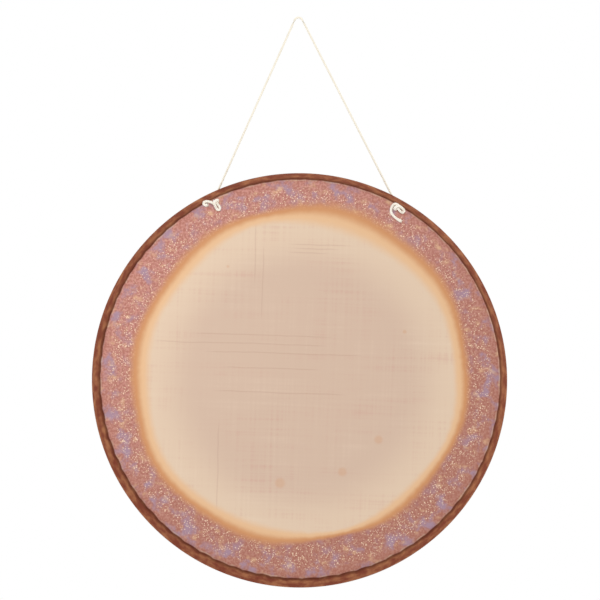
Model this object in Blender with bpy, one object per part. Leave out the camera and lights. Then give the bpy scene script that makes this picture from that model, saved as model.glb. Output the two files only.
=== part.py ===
"""Tam gong hanging on its cord, at real size in metres, +Z up, seen from the front along +Y.

The origin is where the inside of the cord's bend bears on a hook. The gong is one bronze disc with
its rim turned back. The cord passes over the rear lip, runs forward inside the rim, comes out of two
holes beside the shoulder and is tied off in front. The gong hangs at the tilt that puts its centre of
mass straight below the two lip points which carry it.
"""

import math

import bmesh
import bpy
from mathutils import Matrix, Vector

MM = 0.001

# Bronze disc
GONG_RADIUS = 350 * MM
RIM_DEPTH = 35 * MM
RIM_FLARE = 13 * MM
SHEET = 2.2 * MM
CROWN = 6 * MM
SHOULDER_RADIUS = 5 * MM
DISC_STEPS = 120
FACE_RINGS = 7
SHOULDER_STEPS = 4
LIP_STEPS = 4

# Cord holes, drilled square to the face just inside the shoulder
HOLE_DIAMETER = 6.5 * MM
HOLE_FROM_CENTRE = 331.5 * MM
HOLE_ANGLE = math.radians(27.3)
HOLE_SIDES = 24

# Cord
CORD_DIAMETER = 3.5 * MM
KNOT_CORD_DIAMETER = 3.2 * MM
GAP = 0.3 * MM
BEND_RADIUS = 7 * MM
SWING_AXIS_DROP = 10 * MM
LIP_ANGLE = math.radians(24.9)
HANG_DROP = 300.4 * MM
HANG_SHIFT = 11.2 * MM
GONG_ROLL = math.radians(1.5)
CORD_STEP = 2.5 * CORD_DIAMETER
KNOT_STEP = 1.5 * MM
KNOT_PITCH = KNOT_CORD_DIAMETER + 0.42 * MM
KNOT_START = 7.5 * MM
FRAYED_END_SWELL = 1.45

# Stopper knot as a centreline, in cord pitches from the hole: along the loop, across it, and off the
# face. It comes out of the hole, runs out as a flat loop, comes back, hitches round itself and leaves.
KNOT_CORE = (
    (-0.05, 0.0, 0.6),
    (0.15, 0.0, 1.3),
    (0.6, 0.0, 1.65),
    (1.2, -0.05, 1.65),
    (1.8, -0.2, 1.4),
    (2.5, -0.35, 1.05),
    (3.2, -0.45, 0.75),
    (3.9, -0.35, 0.6),
    (4.4, 0.1, 0.6),
    (4.35, 0.7, 0.6),
    (3.8, 1.1, 0.7),
    (3.2, 1.2, 1.0),
    (2.6, 1.2, 1.5),
    (2.0, 1.2, 2.0),
    (1.4, 1.1, 2.4),
    (0.8, 0.8, 2.65),
    (0.35, 0.15, 2.7),
    (0.15, -0.55, 2.5),
    (0.15, -1.1, 1.95),
    (0.4, -1.2, 1.3),
    (0.8, -0.85, 0.75),
    (1.15, 0.0, 0.55),
    (1.4, 0.75, 0.7),
    (1.2, 1.2, 1.15),
    (0.65, 1.2, 1.55),
)

# Loose tails of the knots in millimetres from the hole: to the right, up, and off the face
LEFT_LOOP_DIRECTION = math.radians(-58.5)
LEFT_TAIL = (
    (-4.6, -3.3, 5.3),
    (-7.3, -2.2, 4.2),
    (-10.4, -1.4, 3.0),
    (-13.6, -1.0, 2.5),
    (-16.8, -1.5, 2.5),
    (-19.0, -3.6, 2.5),
    (-18.4, -6.4, 2.6),
    (-15.6, -7.4, 2.8),
    (-12.4, -6.8, 3.0),
)
RIGHT_LOOP_DIRECTION = math.radians(-35.0)
RIGHT_TAIL = (
    (2.0, 3.8, 5.6),
    (-0.6, 4.5, 5.4),
    (-3.3, 3.6, 4.8),
    (-5.6, 1.0, 3.8),
    (-7.1, -2.8, 2.8),
    (-7.6, -7.0, 2.4),
    (-6.5, -11.2, 2.4),
    (-3.6, -15.2, 2.4),
    (0.6, -18.8, 2.5),
    (5.2, -21.8, 2.7),
    (9.6, -24.0, 3.0),
)

BRONZE_COLOUR = (0.62, 0.43, 0.32, 1.0)
CORD_COLOUR = (0.88, 0.81, 0.68, 1.0)


def clear_scene():
    for old in list(bpy.data.objects):
        bpy.data.objects.remove(old, do_unlink=True)


def make_material(name, colour, roughness, metallic):
    material = bpy.data.materials.new(name)
    material.use_nodes = True
    shader = material.node_tree.nodes["Principled BSDF"]
    shader.inputs["Base Color"].default_value = colour
    shader.inputs["Roughness"].default_value = roughness
    shader.inputs["Metallic"].default_value = metallic
    material.diffuse_color = colour
    return material


def add_object(name, data, parent=None, material=None):
    """Link a new object, place it on its parent and give it its material."""
    thing = bpy.data.objects.new(name, data)
    bpy.context.scene.collection.objects.link(thing)
    thing.parent = parent
    if material is not None:
        data.materials.append(material)
    return thing


def add_axis(name, place, turn=(0.0, 0.0, 0.0)):
    """An empty whose X axis is a joint's axis."""
    axis = add_object(name, None)
    axis.location = place
    axis.rotation_euler = turn
    axis.empty_display_size = 0.05
    return axis


# Disc section, as distance from the centre and depth behind the face's edge


def face_depth(distance):
    """Depth of the face's front surface: the crown stands out toward the front."""
    inside = min(distance / SHOULDER_CENTRE_RADIUS, 1.0)
    return -CROWN * (1.0 - inside * inside)


RIM_SLOPE = math.atan2(RIM_FLARE, RIM_DEPTH)
SHOULDER_TURN = math.pi / 2 - RIM_SLOPE
CREASE_RADIUS = GONG_RADIUS - RIM_FLARE
SHOULDER_CENTRE_RADIUS = CREASE_RADIUS - SHOULDER_RADIUS * math.tan(SHOULDER_TURN / 2)
LIP_CENTRE = Vector((
    GONG_RADIUS - SHEET / 2 * math.cos(RIM_SLOPE),
    RIM_DEPTH - SHEET / 2,
))


def disc_section():
    """Closed section of the disc, from the front pole out round the lip and back to the rear pole."""
    front = []
    for ring in range(FACE_RINGS + 1):
        distance = SHOULDER_CENTRE_RADIUS * ring / FACE_RINGS
        front.append(Vector((distance, face_depth(distance))))
    centre = Vector((SHOULDER_CENTRE_RADIUS, SHOULDER_RADIUS))
    for step in range(1, SHOULDER_STEPS + 1):
        turn = SHOULDER_TURN * step / SHOULDER_STEPS
        front.append(centre + SHOULDER_RADIUS * Vector((math.sin(turn), -math.cos(turn))))
    inner_shoulder = []
    for step in range(SHOULDER_STEPS, 0, -1):
        turn = SHOULDER_TURN * step / SHOULDER_STEPS
        reach = SHOULDER_RADIUS - SHEET
        inner_shoulder.append(centre + reach * Vector((math.sin(turn), -math.cos(turn))))
    lip = []
    for step in range(LIP_STEPS + 1):
        turn = -RIM_SLOPE + math.pi * step / LIP_STEPS
        lip.append(LIP_CENTRE + SHEET / 2 * Vector((math.cos(turn), math.sin(turn))))
    back = [Vector((point.x, point.y + SHEET)) for point in reversed(front[:FACE_RINGS + 1])]
    return front + lip + inner_shoulder + back


def section_centre_of_mass(section):
    """Depth of the turned disc's centre of mass, summed over the section's slices."""
    volume = 0.0
    moment = 0.0
    for start, end in zip(section, section[1:] + section[:1]):
        steps = 8
        for step in range(steps):
            low = start.lerp(end, step / steps)
            high = start.lerp(end, (step + 1) / steps)
            middle = (low + high) / 2
            ring = math.pi * middle.x ** 2 * (high.y - low.y)
            volume += ring
            moment += ring * middle.y
    return moment / volume


def build_disc(parent, material, lift):
    """Turn the section about the gong's axis, then drill the two cord holes."""
    mesh = bpy.data.meshes.new("gong_plate")
    form = bmesh.new()
    corners = [form.verts.new((point.x, point.y, 0.0)) for point in disc_section()]
    edges = [form.edges.new(pair) for pair in zip(corners, corners[1:])]
    bmesh.ops.spin(
        form,
        geom=corners + edges,
        cent=(0.0, 0.0, 0.0),
        axis=(0.0, 1.0, 0.0),
        angle=math.tau,
        steps=DISC_STEPS,
        use_merge=True,
    )
    bmesh.ops.remove_doubles(form, verts=form.verts, dist=0.001 * MM)
    bmesh.ops.recalc_face_normals(form, faces=form.faces)
    bmesh.ops.translate(form, verts=form.verts, vec=lift)
    form.to_mesh(mesh)
    form.free()
    mesh.shade_smooth()
    mesh.set_sharp_from_angle(angle=math.radians(35))
    disc = add_object("gong_plate", mesh, parent, material)
    for side in (-1, 1):
        cutter = build_hole_cutter(side, parent, lift)
        cut = disc.modifiers.new(cutter.name, "BOOLEAN")
        cut.operation = "DIFFERENCE"
        cut.solver = "EXACT"
        cut.object = cutter


def hole_centre(side):
    """Middle of a cord hole on the face's front surface, in the disc's own frame."""
    return Vector((
        side * HOLE_FROM_CENTRE * math.sin(HOLE_ANGLE),
        face_depth(HOLE_FROM_CENTRE),
        HOLE_FROM_CENTRE * math.cos(HOLE_ANGLE),
    ))


def build_hole_cutter(side, parent, lift):
    mesh = bpy.data.meshes.new("hole_cutter")
    form = bmesh.new()
    bmesh.ops.create_cone(
        form,
        cap_ends=True,
        segments=HOLE_SIDES,
        radius1=HOLE_DIAMETER / 2,
        radius2=HOLE_DIAMETER / 2,
        depth=6 * SHEET,
        matrix=Matrix.Translation(hole_centre(side) + lift) @ Matrix.Rotation(math.pi / 2, 4, "X"),
    )
    form.to_mesh(mesh)
    form.free()
    cutter = add_object("hole_cutter", mesh, parent)
    cutter.hide_render = True
    cutter.display_type = "WIRE"
    return cutter


# Cord


def smooth_route(points, step):
    """Even points along a smooth curve through the route's own points."""
    points = [Vector(point) for point in points]
    padded = [2 * points[0] - points[1]] + points + [2 * points[-1] - points[-2]]
    fine = []
    for before, start, end, after in zip(padded, padded[1:], padded[2:], padded[3:]):
        for part in range(16):
            t = part / 16
            fine.append(0.5 * (
                2 * start
                + (end - before) * t
                + (2 * before - 5 * start + 4 * end - after) * t ** 2
                + (3 * start - before - 3 * end + after) * t ** 3
            ))
    fine.append(points[-1])
    length = route_length(fine)
    spaces = max(2, round(length / step))
    even = [fine[0]]
    walked = 0.0
    for start, end in zip(fine, fine[1:]):
        stretch = (end - start).length
        while len(even) < spaces and walked + stretch >= length * len(even) / spaces:
            even.append(start.lerp(end, (length * len(even) / spaces - walked) / stretch))
        walked += stretch
    even.append(fine[-1])
    return even


def route_length(points):
    return sum((end - start).length for start, end in zip(points, points[1:]))


def build_cord(name, points, radii, parent, material):
    """A round tube with filled ends along a polyline, with its own radius at each point."""
    curve = bpy.data.curves.new(name, "CURVE")
    curve.dimensions = "3D"
    curve.bevel_depth = 1.0
    curve.bevel_resolution = 2
    curve.use_fill_caps = True
    spline = curve.splines.new("POLY")
    spline.points.add(len(points) - 1)
    for control, point, radius in zip(spline.points, points, radii):
        control.co = (*point, 1.0)
        control.radius = radius
    spline.use_smooth = True
    return add_object(name, curve, parent, material)


def even_radii(points, radius=CORD_DIAMETER / 2):
    return [radius] * len(points)


def with_ball_ends(start, end, radius):
    """A straight run with a half ball round each end point, as points and radii."""
    along = (end - start).normalized()
    turns = [math.radians(degrees) for degrees in (80, 55, 28, 0)]
    points = [start - along * radius * math.sin(turn) for turn in turns]
    radii = [radius * math.cos(turn) for turn in turns]
    spaces = max(2, round((end - start).length / CORD_STEP))
    points += [start.lerp(end, step / spaces) for step in range(1, spaces)]
    radii += [radius] * (spaces - 1)
    points += [end + along * radius * math.sin(turn) for turn in reversed(turns)]
    radii += [radius * math.cos(turn) for turn in reversed(turns)]
    return points, radii


def tangent_from(target, centre, radius, side):
    """Where a line from the target touches the bend's circle, in the plane of the bend."""
    reach = centre - target
    lean = math.atan2(reach.x, reach.z)
    opening = math.asin(radius / math.hypot(reach.x, reach.z))
    heading = lean + side * opening
    run = math.sqrt(reach.x ** 2 + reach.z ** 2 - radius ** 2)
    return target + run * Vector((math.sin(heading), 0.0, math.cos(heading)))


def point_at_height(start, end, height):
    return start.lerp(end, (height - start.z) / (end.z - start.z))


def build_cord_bend(material, centre, touches, joints):
    """The bend over the hook: an arc between two short straight ends that stop at the legs."""
    ends = []
    for touch, joint in zip(touches, joints):
        down = (joint - touch).normalized()
        ends.append(joint - down * (CORD_DIAMETER / 2 + GAP))
    start = math.atan2(touches[0].z - centre.z, touches[0].x - centre.x)
    stop = math.atan2(touches[1].z - centre.z, touches[1].x - centre.x)
    arc = []
    steps = 12
    for step in range(steps + 1):
        turn = start + (stop - start) * step / steps
        arc.append(centre + BEND_RADIUS * Vector((math.cos(turn), 0.0, math.sin(turn))))
    points = [ends[0]] + arc + [ends[1]]
    build_cord("cord_bend", points, even_radii(points), None, material)
    return route_length(points)


def under_lip(side):
    """Where the cord's centreline leaves the inner side of the lip, in the disc's own frame."""
    outward = Vector((side * math.sin(LIP_ANGLE), 0.0, math.cos(LIP_ANGLE)))
    reach = LIP_CENTRE.x - SHEET / 2 - CORD_DIAMETER / 2 - GAP
    return outward * reach + Vector((0.0, LIP_CENTRE.y, 0.0))


def run_heading(side):
    """The middle of the hole's depth, and the way that the cord heads as it comes through."""
    middle = hole_centre(side) + Vector((0.0, SHEET / 2, 0.0))
    return middle, (middle - under_lip(side)).normalized()


def knot_route(side, loop_direction, tail):
    """Centreline of one stopper knot in the disc's frame, from its straight start behind the hole."""
    centre = hole_centre(side)
    middle, heading = run_heading(side)
    placed = [middle - heading * KNOT_START, middle - heading * (KNOT_START - KNOT_CORD_DIAMETER), middle]
    along = Vector((math.cos(loop_direction), math.sin(loop_direction)))
    across = side * Vector((-along.y, along.x))
    route = []
    for ahead, aside, off in KNOT_CORE:
        flat = KNOT_PITCH * (ahead * along + aside * across)
        route.append((flat.x, flat.y, off * KNOT_PITCH))
    route += [tuple(value * MM for value in point) for point in tail]
    for right, up, off in route:
        place = centre + Vector((right, 0.0, up))
        place.y = face_depth(math.hypot(place.x, place.z)) - off
        placed.append(place)
    return smooth_route(placed, KNOT_STEP)


def least_gap(points, diameter):
    """Least space between two stretches of one tube that are not neighbours along it."""
    apart = math.ceil(2.0 * diameter / KNOT_STEP)
    least = math.inf
    for index, point in enumerate(points):
        for other in points[index + apart:]:
            least = min(least, (point - other).length - diameter)
    return least


def knot_radii(points, tail_points=5):
    """Even radius, swelling over the last points into the frayed end."""
    radius = KNOT_CORD_DIAMETER / 2
    radii = [radius] * len(points)
    for index in range(tail_points):
        share = (index + 1) / tail_points
        radii[len(points) - tail_points + index] = radius * (1 + (FRAYED_END_SWELL - 1) * share)
    return radii


def build_knot(name, side, loop_direction, tail, parent, material, lift):
    points = knot_route(side, loop_direction, tail)
    print(f"{name}: length {route_length(points) * 1000:.1f} mm, least gap to itself"
          f" {least_gap(points, KNOT_CORD_DIAMETER) * 1000:.2f} mm")
    placed = [point + lift for point in points]
    build_cord(name, placed, knot_radii(placed), parent, material)
    return route_length(points)


def run_route(side):
    """The straight stretch inside the rim, from just under the lip to just behind the hole."""
    middle, heading = run_heading(side)
    start = under_lip(side)
    end = middle - heading * (KNOT_START + GAP)
    spaces = round((end - start).length / CORD_STEP)
    return [start.lerp(end, step / spaces) for step in range(spaces + 1)]


def build_gong(bronze, cord):
    """Everything that rocks on the lip points, and the lip points themselves in the world."""
    lip_distance = LIP_CENTRE.x
    lip_height = lip_distance * math.cos(LIP_ANGLE)
    lip_depth = LIP_CENTRE.y
    mass_depth = section_centre_of_mass(disc_section())
    tilt = math.atan2(lip_depth - mass_depth, lip_height)
    middle = Vector((HANG_SHIFT, 0.0, -HANG_DROP))
    rock_axis = add_axis("rock_axis", middle, (tilt, GONG_ROLL, 0.0))
    lift = Vector((0.0, -lip_depth, -lip_height))
    build_disc(rock_axis, bronze, lift)
    lips = []
    length = 0.0
    turn = Matrix.Rotation(GONG_ROLL, 3, "Y") @ Matrix.Rotation(tilt, 3, "X")
    sides = (
        ("left", -1, LEFT_LOOP_DIRECTION, LEFT_TAIL),
        ("right", 1, RIGHT_LOOP_DIRECTION, RIGHT_TAIL),
    )
    for name, side, loop_direction, tail in sides:
        lip = Vector((side * lip_distance * math.sin(LIP_ANGLE), lip_depth, lip_height))
        length += build_knot(f"{name}_knot", side, loop_direction, tail, rock_axis, cord, lift)
        route = [point + lift for point in run_route(side)]
        build_cord(f"{name}_cord_run", route, even_radii(route), rock_axis, cord)
        length += route_length(route)
        lips.append(middle + turn @ (lip + lift))
    print(f"tilt {math.degrees(tilt):.3f} degrees, centre of mass {mass_depth * 1000:.3f} mm deep")
    print("lip points", [tuple(round(value, 5) for value in lip) for lip in lips])
    return lips, length


def build_hanging_cord(lips, cord):
    """The bend over the hook and the two taut legs that swing below it."""
    centre = Vector((0.0, 0.0, CORD_DIAMETER / 2 - BEND_RADIUS))
    behind = Vector((0.0, SHEET / 2 + CORD_DIAMETER / 2 + GAP, 0.0))
    feet = [lip + behind for lip in lips]
    flat_feet = [Vector((foot.x, 0.0, foot.z)) for foot in feet]
    touches = [
        tangent_from(foot, centre, BEND_RADIUS, side)
        for foot, side in zip(flat_feet, (-1, 1))
    ]
    tops = [point_at_height(touch, foot, -SWING_AXIS_DROP) for touch, foot in zip(touches, flat_feet)]
    length = build_cord_bend(cord, centre, touches, tops)
    swing_axis = add_axis("swing_axis", (0.0, 0.0, -SWING_AXIS_DROP))
    for name, top, foot in zip(("left", "right"), tops, feet):
        shift = swing_axis.location
        points, radii = with_ball_ends(top - shift, foot - shift, CORD_DIAMETER / 2)
        build_cord(f"{name}_cord_leg", points, radii, swing_axis, cord)
        length += (foot - top).length
    return length


def main():
    clear_scene()
    bronze = make_material("bronze", BRONZE_COLOUR, 0.38, 1.0)
    cord = make_material("cream_cord", CORD_COLOUR, 0.85, 0.0)
    lips, tied_length = build_gong(bronze, cord)
    hanging_length = build_hanging_cord(lips, cord)
    print(f"cord length {(tied_length + hanging_length) * 1000:.0f} mm")


if __name__ == "__main__":
    main()
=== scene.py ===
"""Looks of a tam gong hanging on its cord, laid out as a Blender add-on and run as a script."""

import math
import random

import bmesh
import bpy
from bpy.props import FloatProperty, FloatVectorProperty, PointerProperty
from mathutils import Matrix, Vector, noise


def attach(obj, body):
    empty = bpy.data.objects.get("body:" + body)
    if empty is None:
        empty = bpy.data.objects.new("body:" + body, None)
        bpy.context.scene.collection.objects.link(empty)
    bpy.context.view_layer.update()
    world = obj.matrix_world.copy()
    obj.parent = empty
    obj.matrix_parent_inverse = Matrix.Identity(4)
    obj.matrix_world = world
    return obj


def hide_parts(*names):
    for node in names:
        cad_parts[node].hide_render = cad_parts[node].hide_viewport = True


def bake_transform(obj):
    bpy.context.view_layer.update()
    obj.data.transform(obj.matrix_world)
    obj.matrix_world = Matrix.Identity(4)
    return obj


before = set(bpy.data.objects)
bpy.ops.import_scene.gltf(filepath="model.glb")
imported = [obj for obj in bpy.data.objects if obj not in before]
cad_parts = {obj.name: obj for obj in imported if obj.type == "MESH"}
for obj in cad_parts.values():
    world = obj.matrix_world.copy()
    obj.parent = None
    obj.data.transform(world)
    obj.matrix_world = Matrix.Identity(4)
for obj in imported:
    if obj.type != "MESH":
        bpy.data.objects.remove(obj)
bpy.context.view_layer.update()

bl_info = {
    "name": "Tam Gong",
    "version": (1, 0, 0),
    "blender": (4, 5, 0),
    "location": "3D View > Sidebar > Tam Gong",
    "description": "Builds a hammered bronze tam gong on its hanging cord",
    "category": "Object",
}

MM = 0.001

# Disc section, the same sizes as the solid
GONG_RADIUS = 350 * MM
RIM_DEPTH = 35 * MM
RIM_FLARE = 13 * MM
SHEET = 2.2 * MM
CROWN = 6 * MM
SHOULDER_RADIUS = 5 * MM
RIM_SLOPE = math.atan2(RIM_FLARE, RIM_DEPTH)
SHOULDER_TURN = math.pi / 2 - RIM_SLOPE
CREASE_RADIUS = GONG_RADIUS - RIM_FLARE
SHOULDER_CENTRE_RADIUS = CREASE_RADIUS - SHOULDER_RADIUS * math.tan(SHOULDER_TURN / 2)
LIP_CENTRE = Vector((GONG_RADIUS - SHEET / 2 * math.cos(RIM_SLOPE), RIM_DEPTH - SHEET / 2))
DISC_STEPS = 480
CENTRE_RINGS = 18
BORDER_RINGS = 22
BORDER_START = 245 * MM
SHOULDER_STEPS = 6
RIM_STEPS = 6
LIP_STEPS = 8

# Hammer marks. Each pair runs from where an effect is absent to where it is full
SHOULDER_MARKS = 80
MARK_SEED = 11
MARK_WIDTHS = (3.7, 5.3)
MARK_STRENGTHS = (0.45, 1.0)
SHALLOWEST_MARK = 0.25
DEEPEST_MARKS_TURN = math.radians(215)
SCALLOPS_START = (322 * MM, 333 * MM)
SCALLOPS_END_DEPTH = (24 * MM, 5 * MM)
SCALLOP_BACKWARDS = 0.3
DENT_SPACING = 27 * MM
DENT_LEVEL = 0.45
DENTS_START = (262 * MM, 284 * MM)
DENTS_END = (332 * MM, 324 * MM)
SWELL_HEIGHT = 0.25 * MM
SWELL_SIZE = 110 * MM
SWELL_END = (330 * MM, 300 * MM)
RIM_WAVE_HEIGHT = 0.35 * MM
RIM_WAVE_ROUND = 16 * MM
RIM_WAVE_ACROSS = 12 * MM
RIM_WAVES_START_DEPTH = (6 * MM, 14 * MM)
RIM_WAVES_END_DEPTH = (33 * MM, 26 * MM)
LIP_DRAWN_IN = 0.25 * MM
LIP_DRAWN_IN_DEPTH = (20 * MM, 32 * MM)

# Cord holes
HOLE_DIAMETER = 6.5 * MM
HOLE_FROM_CENTRE = 331.5 * MM
HOLE_ANGLE = math.radians(27.3)

# Cord route, the same sizes as the solid
CORD_DIAMETER = 3.5 * MM
KNOT_CORD_DIAMETER = 3.2 * MM
SLACK_CORD_DIAMETER = 4.7 * MM
GAP = 0.3 * MM
BEND_RADIUS = 7 * MM
SWING_AXIS_DROP = 10 * MM
LIP_ANGLE = math.radians(24.9)
HANG_DROP = 300.4 * MM
HANG_SHIFT = 11.2 * MM
GONG_ROLL = math.radians(1.5)
GONG_TILT = math.radians(5.805)
KNOT_PITCH = KNOT_CORD_DIAMETER + 0.42 * MM
KNOT_START = 7.5 * MM
CORD_JOIN = 12 * MM
BEND_CENTRE = Vector((0.0, 0.0, CORD_DIAMETER / 2 - BEND_RADIUS))
LIP_TO_CORD = SHEET / 2 + CORD_DIAMETER / 2 + GAP
STRAND_STEP = 1.1 * MM
STRAND_CORNERS = 18
STRAND_MEAN = 0.96
STRAND_RELIEF = 0.06
BEND_STEPS = 20
CURVE_PARTS = 16
# Distance along a tied end, from above the lip, over which the slack cord plumps up
SLACK_START = (38 * MM, 48 * MM)
# Distance from the cut end over which it swells, and by what share of its thickness
TIP_START = (7 * MM, 1.5 * MM)
TIP_SWELLING = 0.22
# A tied end keeps the hanging cord's darker painted cream behind this depth, inside the hole
DARKER_CORD_BEHIND = -26 * MM

# Loose fibres at a cut end
FIBRES = 22
FIBRE_POINTS = 4
FIBRE_RADIUS = 0.22 * MM
FIBRE_SPREAD = (0.1 * MM, 1.5 * MM)
FIBRE_LENGTHS = (2.2 * MM, 3.4 * MM)
FIBRE_LEANS = (0.1, 0.7)
FIBRE_ROOT = 1.5 * MM

# Stopper knot in cord pitches from the hole: along the loop, across it, and off the face
KNOT_CORE = (
    (-0.05, 0.0, 0.6),
    (0.15, 0.0, 1.3),
    (0.6, 0.0, 1.65),
    (1.2, -0.05, 1.65),
    (1.8, -0.2, 1.4),
    (2.5, -0.35, 1.05),
    (3.2, -0.45, 0.75),
    (3.9, -0.35, 0.6),
    (4.4, 0.1, 0.6),
    (4.35, 0.7, 0.6),
    (3.8, 1.1, 0.7),
    (3.2, 1.2, 1.0),
    (2.6, 1.2, 1.5),
    (2.0, 1.2, 2.0),
    (1.4, 1.1, 2.4),
    (0.8, 0.8, 2.65),
    (0.35, 0.15, 2.7),
    (0.15, -0.55, 2.5),
    (0.15, -1.1, 1.95),
    (0.4, -1.2, 1.3),
    (0.8, -0.85, 0.75),
    (1.15, 0.0, 0.55),
    (1.4, 0.75, 0.7),
    (1.2, 1.2, 1.15),
    (0.65, 1.2, 1.55),
)

# Loose tails in millimetres from the hole: to the right, up, and off the face
LEFT_LOOP_DIRECTION = math.radians(-58.5)
LEFT_TAIL = (
    (-4.6, -3.3, 5.3),
    (-7.3, -2.2, 4.2),
    (-10.4, -1.4, 3.0),
    (-13.6, -1.0, 2.5),
    (-16.8, -1.5, 2.5),
    (-19.0, -3.6, 2.5),
    (-18.4, -6.4, 2.6),
    (-15.6, -7.4, 2.8),
    (-12.4, -6.8, 3.0),
)
RIGHT_LOOP_DIRECTION = math.radians(-35.0)
RIGHT_TAIL = (
    (2.0, 3.8, 5.6),
    (-0.6, 4.5, 5.4),
    (-3.3, 3.6, 4.8),
    (-5.6, 1.0, 3.8),
    (-7.1, -2.8, 2.8),
    (-7.6, -7.0, 2.4),
    (-6.5, -11.2, 2.4),
    (-3.6, -15.2, 2.4),
    (0.6, -18.8, 2.5),
    (5.2, -21.8, 2.7),
    (9.6, -24.0, 3.0),
)

# Heat tint borders on the face: mean radius, then size and turn of each wave round the disc
STRAW_EDGE = 271.6 * MM
STRAW_WAVES = (
    (1, 3.4, 13),
    (2, 1.75, 73),
    (3, 1.9, -18),
    (4, 1.0, -82),
    (6, 1.0, -72),
    (8, 1.8, 108),
)
COPPER_EDGE = 279.5 * MM
COPPER_WAVES = ((1, 5.1, 4), (2, 3.1, 76), (3, 1.9, 0), (8, 2.4, 95))

# Bands of the finish and of painted shade. Each pair runs from where a colour is absent to where it
# is full
BRUSHED_EDGE = (170 * MM, 255 * MM)
COOL_PATCHES = (285 * MM, 315 * MM)
SPECKS_START = (274 * MM, 284 * MM)
SPECKS_END = (328 * MM, 316 * MM)
SHOULDER_TINT = (329 * MM, 337 * MM)
BACK_BORDER = (300 * MM, 270 * MM)
# Painted shade on the rim just behind the shoulder, by depth behind the face
SHADE_UNDER_SHOULDER_DEPTH = (13 * MM, 3 * MM)
# The same in shares of the way from the straw edge to the copper edge
AMBER_HEAT = (-2.3, -0.4)
COPPER_HEAT = (-0.5, 1.0)
RING_HEAT = (0.7, 2.6)
# The same along the section: 0 on the face, 1 on the rim, 2 on the back
# GLINT_FINISH places a painted highlight where the face turns over into the shoulder
GLINT_FINISH = (0.0, 0.2)
RIM_FINISH = (0.3, 0.65)
ROUGH_FINISH = (0.3, 1.0)
# Painted shade on the lip, along the section
LIP_PAINTED_SHADE_SPAN = (1.0, 1.35)
BACK_FINISH = (1.3, 1.8)

# Fixed tones in linear values
SPECULAR_TINT = (0.92, 0.66, 0.56, 1.0)
POLISHED_TONE = (0.86, 0.72, 0.58)
# Painted light and shade on the ring: its rose in painted shade, and the side round the disc where
# it is painted lightest
SHADED_ROSE_TONE = (0.47, 0.225, 0.175)
LIT_SIDE = math.radians(330)

# Wear on the face in metres from its centre: level, then from and to along the line
SCRATCH_WIDTH = (1.5 * MM, 0.2 * MM)
SCRATCH_TAPER = 30 * MM
LEVEL_SCRATCHES = (
    (0.071, -0.190, 0.060),
    (0.056, -0.253, 0.050),
    (0.041, -0.170, 0.110),
    (0.015, -0.140, 0.040),
    (-0.025, -0.152, 0.084),
    (0.226, -0.034, 0.084),
    (0.219, -0.026, 0.067),
    (0.212, -0.034, 0.050),
)
UPRIGHT_SCRATCHES = (
    (-0.082, 0.150, 0.275),
    (-0.068, 0.090, 0.230),
    (-0.134, -0.239, -0.070),
)
# Thumb marks: to the right, up, radius
THUMB_MARKS = (
    (-0.029, -0.177, 0.011),
    (0.134, -0.099, 0.010),
    (0.075, -0.155, 0.010),
    (0.173, 0.084, 0.004),
    (-0.127, 0.185, 0.004),
    (0.181, 0.228, 0.003),
)

# Camera and room
CAMERA_DISTANCE = 16.0
CAMERA_RISE = math.radians(-10.3)
CAMERA_SIDE = math.radians(-1.8)
PHOTO_SIZE = 600
METRES_PER_PIXEL = 1.684 * MM
RIM_CENTRE_PIXEL = (299.64, 380.06)
SENSOR_WIDTH = 36.0
CLIP_END = 50.0
FLOOR_SIZE = 6.0
SEEN_STRENGTH = 1.0
LIGHT_STRENGTH = 1.08
LAMP_AIM = Vector((0.0, 0.0, -0.55))
# Lamps: name, place, size and power
LAMPS = (
    ("front_lamp", Vector((-1.2, -3.2, 0.2)), 2.0, 6.0),
    ("side_lamp", Vector((2.6, -1.6, -0.2)), 1.6, 3.0),
)


def linear(red, green, blue):
    """A colour from its 0 to 255 screen values, in the linear values that Blender stores."""
    channels = []
    for value in (red, green, blue):
        share = value / 255
        if share <= 0.04045:
            channels.append(share / 12.92)
        else:
            channels.append(((share + 0.055) / 1.055) ** 2.4)
    return tuple(channels)


def colour_setting(name, description, screen_colour):
    return FloatVectorProperty(
        name=name,
        description=description,
        default=linear(*screen_colour),
        subtype="COLOR",
        size=3,
        min=0.0,
        max=1.0,
    )


class TamGongDiscSettings(bpy.types.PropertyGroup):
    """Sizes and colours of the bronze disc."""

    centre_colour: colour_setting("Centre", "Brushed champagne of the middle", (210, 184, 164))
    straw_colour: colour_setting("Straw", "Pale edge of the brushed middle", (222, 198, 174))
    amber_colour: colour_setting("Amber", "First heat tint outside the middle", (226, 186, 146))
    copper_colour: colour_setting("Copper", "Second heat tint", (205, 148, 104))
    rose_colour: colour_setting("Rose", "Main colour of the outer ring", (200, 144, 133))
    mottle_colour: colour_setting("Mottle", "Fine darker mottling in the ring", (160, 100, 84))
    violet_colour: colour_setting("Violet", "Cool patches in the ring", (166, 140, 158))
    speckle_colour: colour_setting("Speckle", "Small pale specks in the ring", (250, 222, 192))
    rim_colour: colour_setting("Rim", "Dark brown of the turned rim", (128, 66, 52))
    # Painted shade laid on the rim under the shoulder and on the lip
    shadow_colour: colour_setting("Painted rim shade", "Burnt under the shoulder and on the lip", (70, 30, 20))
    back_colour: colour_setting("Back", "Unpolished brown of the back", (128, 86, 64))
    dent_depth: FloatProperty(
        name="Dent depth",
        description="Depth of the hammer marks in the outer ring and the back",
        default=0.35 * MM,
        min=0.0,
        unit="LENGTH",
    )
    scallop_depth: FloatProperty(
        name="Scallop depth",
        description="How far the hammer marks along the shoulder reach inwards",
        default=2.2 * MM,
        min=0.0,
        unit="LENGTH",
    )


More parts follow.
